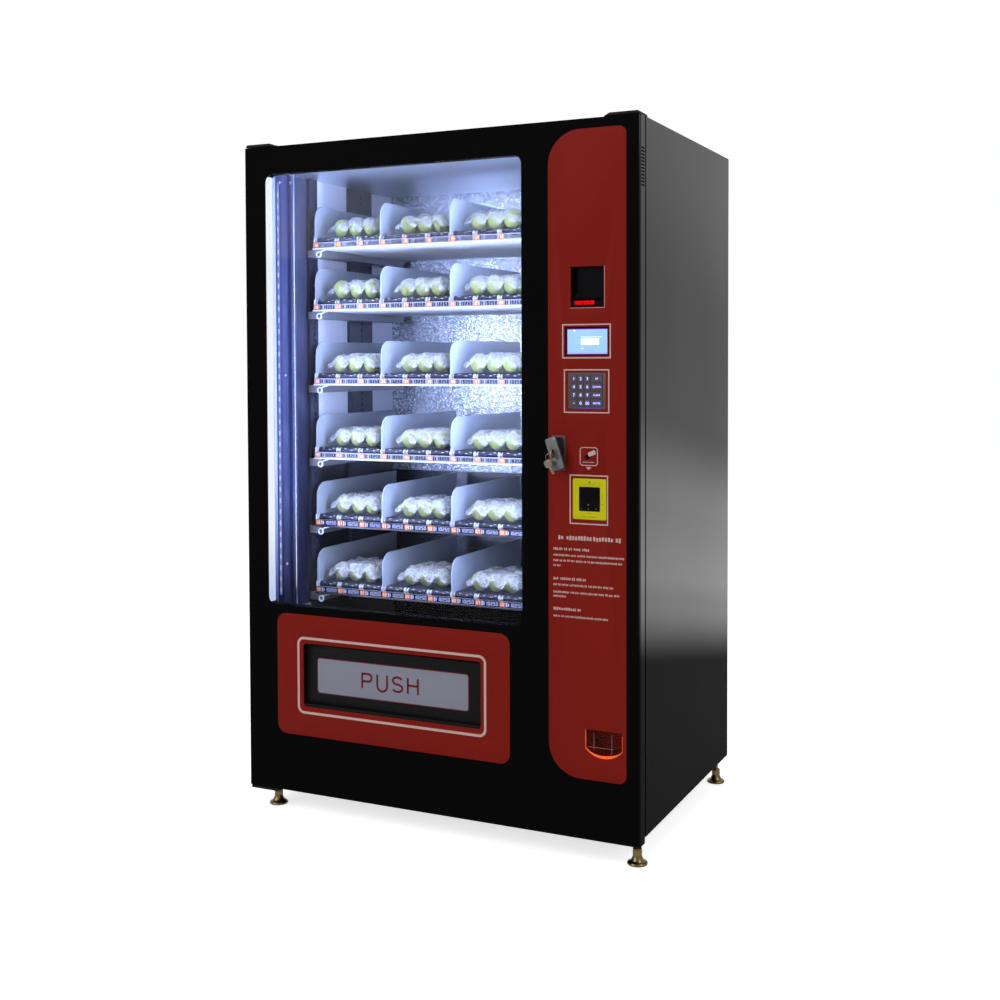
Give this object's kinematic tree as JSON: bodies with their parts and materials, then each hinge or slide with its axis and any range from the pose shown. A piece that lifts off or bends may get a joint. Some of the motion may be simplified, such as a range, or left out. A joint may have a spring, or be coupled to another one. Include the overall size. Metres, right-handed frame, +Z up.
{
  "type": "snack vending machine",
  "caption": "Glass-fronted vending machine with belt trays, a lift, a push-in delivery flap, a control column with keypad and payment modules, and a hinged locking door.",
  "frame": {"origin": "middle of the box round the whole machine, on the floor", "axes": "+Z up, +X to the right seen from the front, the door's front faces -Y"},
  "size_m": [1.206, 0.873, 1.932],
  "materials": {
    "black_paint": "gloss black powder coat",
    "liner_white": "smooth white liner over foam",
    "stucco_aluminium": "stucco embossed aluminium skin over foam",
    "upright_steel": "dark coated slotted steel",
    "tray_paint": "pale powder coat",
    "divider_plastic": "frosted white sheet",
    "belt_rubber": "ribbed black belt",
    "rail_plastic": "white extruded label rail",
    "roller_nylon": "white nylon",
    "guide_aluminium": "anodised extrusion",
    "black_plastic": "moulded black",
    "gloss_black": "glossy black",
    "grey_box": "grey coated steel box",
    "foot_brass": "yellow passivated steel",
    "window_glass": "clear tempered glass",
    "seal_rubber": "black profile rubber",
    "light_diffuser": "white light diffuser",
    "red_paint": "semi-gloss dark red",
    "keypad_metal": "brushed grey metal",
    "yellow_plastic": "yellow moulded plastic",
    "coin_cup_plastic": "amber lit plastic",
    "clear_plastic": "clear moulded plastic",
    "lock_zinc": "die-cast zinc",
    "key_nickel": "nickel plated brass"
  },
  "bodies": {
    "cabinet": {"left_side_panel": "black_paint", "right_side_panel": "black_paint", "top_panel": "black_paint", "rear_panel": "black_paint", "base_frame": "black_paint", "hinge_plates": "black_paint", "left_inner_wall": "liner_white", "partition_wall": "liner_white", "rear_inner_wall": "stucco_aluminium", "tray_uprights": "upright_steel", "tray_runners": "upright_steel", "tray_pans": "tray_paint", "lane_dividers": "divider_plastic", "conveyor_belts": "belt_rubber", "price_rails": "rail_plastic", "lift_guides": "guide_aluminium", "delivery_bin": "black_plastic", "control_box": "grey_box", "levelling_feet": "foot_brass"},
    "door": {"door_skin": "black_paint", "door_inner_panel": "black_plastic", "window_glass": "window_glass", "door_seal": "seal_rubber", "light_bars": "light_diffuser", "control_panel": "red_paint", "bill_acceptor": "gloss_black", "display": "gloss_black", "keypad_plate": "keypad_metal", "card_reader": "yellow_plastic", "coin_cup": "coin_cup_plastic", "lock_plate": "lock_zinc", "hatch_panel": "red_paint", "hatch_surround": "black_plastic"},
    "flap": {"delivery_flap": "black_plastic"},
    "coin_door": {"coin_flap": "clear_plastic"},
    "handle": {"lock_handle": "lock_zinc"},
    "turnkey": {"lock_key": "key_nickel"},
    "lift": {"lift_platform": "tray_paint"},
    "idlers_1": {"idler_rollers_1": "roller_nylon"},
    "idlers_2": {"idler_rollers_2": "roller_nylon"},
    "idlers_3": {"idler_rollers_3": "roller_nylon"},
    "idlers_4": {"idler_rollers_4": "roller_nylon"},
    "idlers_5": {"idler_rollers_5": "roller_nylon"},
    "idlers_6": {"idler_rollers_6": "roller_nylon"},
    "key_r1_c1_cap": {"key_r1_c1": "keypad_metal"},
    "key_r1_c2_cap": {"key_r1_c2": "keypad_metal"},
    "key_r1_c3_cap": {"key_r1_c3": "keypad_metal"},
    "key_r1_c4_cap": {"key_r1_c4": "keypad_metal"},
    "key_r2_c1_cap": {"key_r2_c1": "keypad_metal"},
    "key_r2_c2_cap": {"key_r2_c2": "keypad_metal"},
    "key_r2_c3_cap": {"key_r2_c3": "keypad_metal"},
    "key_r2_c4_cap": {"key_r2_c4": "keypad_metal"},
    "key_r3_c1_cap": {"key_r3_c1": "keypad_metal"},
    "key_r3_c2_cap": {"key_r3_c2": "keypad_metal"},
    "key_r3_c3_cap": {"key_r3_c3": "keypad_metal"},
    "key_r3_c4_cap": {"key_r3_c4": "keypad_metal"},
    "key_r4_c1_cap": {"key_r4_c1": "keypad_metal"},
    "key_r4_c2_cap": {"key_r4_c2": "keypad_metal"},
    "key_r4_c3_cap": {"key_r4_c3": "keypad_metal"},
    "key_r4_c4_cap": {"key_r4_c4": "keypad_metal"}
  },
  "joints": [
    {"name": "door_swing", "type": "hinge", "parent": "cabinet", "child": "door", "pos_m": [-0.584, -0.3625, 0.966], "axis": [0, 0, -1], "range_deg": [0, 105]},
    {"name": "flap_push", "type": "hinge", "parent": "door", "child": "flap", "pos_m": [-0.129, -0.3685, 0.492], "axis": [1, 0, 0], "range_deg": [0, 72]},
    {"name": "coin_flap_push", "type": "hinge", "parent": "door", "child": "coin_door", "pos_m": [0.506, -0.3735, 0.351], "axis": [1, 0, 0], "range_deg": [0, 45]},
    {"name": "handle_turn", "type": "hinge", "parent": "door", "child": "handle", "pos_m": [0.382, -0.4015, 1.067], "axis": [0, 1, 0], "range_deg": [-72, 18]},
    {"name": "lock_key_turn", "type": "hinge", "parent": "handle", "child": "turnkey", "pos_m": [0.382, -0.4115, 1.067], "axis": [0, 1, 0], "range_deg": [0, 90]},
    {"name": "lift_travel", "type": "slide", "parent": "cabinet", "child": "lift", "axis": [0, 0, 1], "range_m": [0, 1.12]},
    {"name": "idlers_1_spin", "type": "hinge", "parent": "cabinet", "child": "idlers_1", "pos_m": [-0.1335, -0.1335, 1.672], "axis": [1, 0, 0], "continuous": true},
    {"name": "idlers_2_spin", "type": "hinge", "parent": "cabinet", "child": "idlers_2", "pos_m": [-0.1335, -0.1335, 1.48521], "axis": [1, 0, 0], "continuous": true},
    {"name": "idlers_3_spin", "type": "hinge", "parent": "cabinet", "child": "idlers_3", "pos_m": [-0.1335, -0.1335, 1.26107], "axis": [1, 0, 0], "continuous": true},
    {"name": "idlers_4_spin", "type": "hinge", "parent": "cabinet", "child": "idlers_4", "pos_m": [-0.1335, -0.1335, 1.03693], "axis": [1, 0, 0], "continuous": true},
    {"name": "idlers_5_spin", "type": "hinge", "parent": "cabinet", "child": "idlers_5", "pos_m": [-0.1335, -0.1335, 0.83146], "axis": [1, 0, 0], "continuous": true},
    {"name": "idlers_6_spin", "type": "hinge", "parent": "cabinet", "child": "idlers_6", "pos_m": [-0.1335, -0.1335, 0.626], "axis": [1, 0, 0], "continuous": true},
    {"name": "key_r1_c1_press", "type": "slide", "parent": "door", "child": "key_r1_c1_cap", "axis": [0, 1, 0], "range_m": [0, 0.0012], "stiffness_N_per_m": 900},
    {"name": "key_r1_c2_press", "type": "slide", "parent": "door", "child": "key_r1_c2_cap", "axis": [0, 1, 0], "range_m": [0, 0.0012], "stiffness_N_per_m": 900},
    {"name": "key_r1_c3_press", "type": "slide", "parent": "door", "child": "key_r1_c3_cap", "axis": [0, 1, 0], "range_m": [0, 0.0012], "stiffness_N_per_m": 900},
    {"name": "key_r1_c4_press", "type": "slide", "parent": "door", "child": "key_r1_c4_cap", "axis": [0, 1, 0], "range_m": [0, 0.0012], "stiffness_N_per_m": 900},
    {"name": "key_r2_c1_press", "type": "slide", "parent": "door", "child": "key_r2_c1_cap", "axis": [0, 1, 0], "range_m": [0, 0.0012], "stiffness_N_per_m": 900},
    {"name": "key_r2_c2_press", "type": "slide", "parent": "door", "child": "key_r2_c2_cap", "axis": [0, 1, 0], "range_m": [0, 0.0012], "stiffness_N_per_m": 900},
    {"name": "key_r2_c3_press", "type": "slide", "parent": "door", "child": "key_r2_c3_cap", "axis": [0, 1, 0], "range_m": [0, 0.0012], "stiffness_N_per_m": 900},
    {"name": "key_r2_c4_press", "type": "slide", "parent": "door", "child": "key_r2_c4_cap", "axis": [0, 1, 0], "range_m": [0, 0.0012], "stiffness_N_per_m": 900},
    {"name": "key_r3_c1_press", "type": "slide", "parent": "door", "child": "key_r3_c1_cap", "axis": [0, 1, 0], "range_m": [0, 0.0012], "stiffness_N_per_m": 900},
    {"name": "key_r3_c2_press", "type": "slide", "parent": "door", "child": "key_r3_c2_cap", "axis": [0, 1, 0], "range_m": [0, 0.0012], "stiffness_N_per_m": 900},
    {"name": "key_r3_c3_press", "type": "slide", "parent": "door", "child": "key_r3_c3_cap", "axis": [0, 1, 0], "range_m": [0, 0.0012], "stiffness_N_per_m": 900},
    {"name": "key_r3_c4_press", "type": "slide", "parent": "door", "child": "key_r3_c4_cap", "axis": [0, 1, 0], "range_m": [0, 0.0012], "stiffness_N_per_m": 900},
    {"name": "key_r4_c1_press", "type": "slide", "parent": "door", "child": "key_r4_c1_cap", "axis": [0, 1, 0], "range_m": [0, 0.0012], "stiffness_N_per_m": 900},
    {"name": "key_r4_c2_press", "type": "slide", "parent": "door", "child": "key_r4_c2_cap", "axis": [0, 1, 0], "range_m": [0, 0.0012], "stiffness_N_per_m": 900},
    {"name": "key_r4_c3_press", "type": "slide", "parent": "door", "child": "key_r4_c3_cap", "axis": [0, 1, 0], "range_m": [0, 0.0012], "stiffness_N_per_m": 900},
    {"name": "key_r4_c4_press", "type": "slide", "parent": "door", "child": "key_r4_c4_cap", "axis": [0, 1, 0], "range_m": [0, 0.0012], "stiffness_N_per_m": 900}
  ]
}
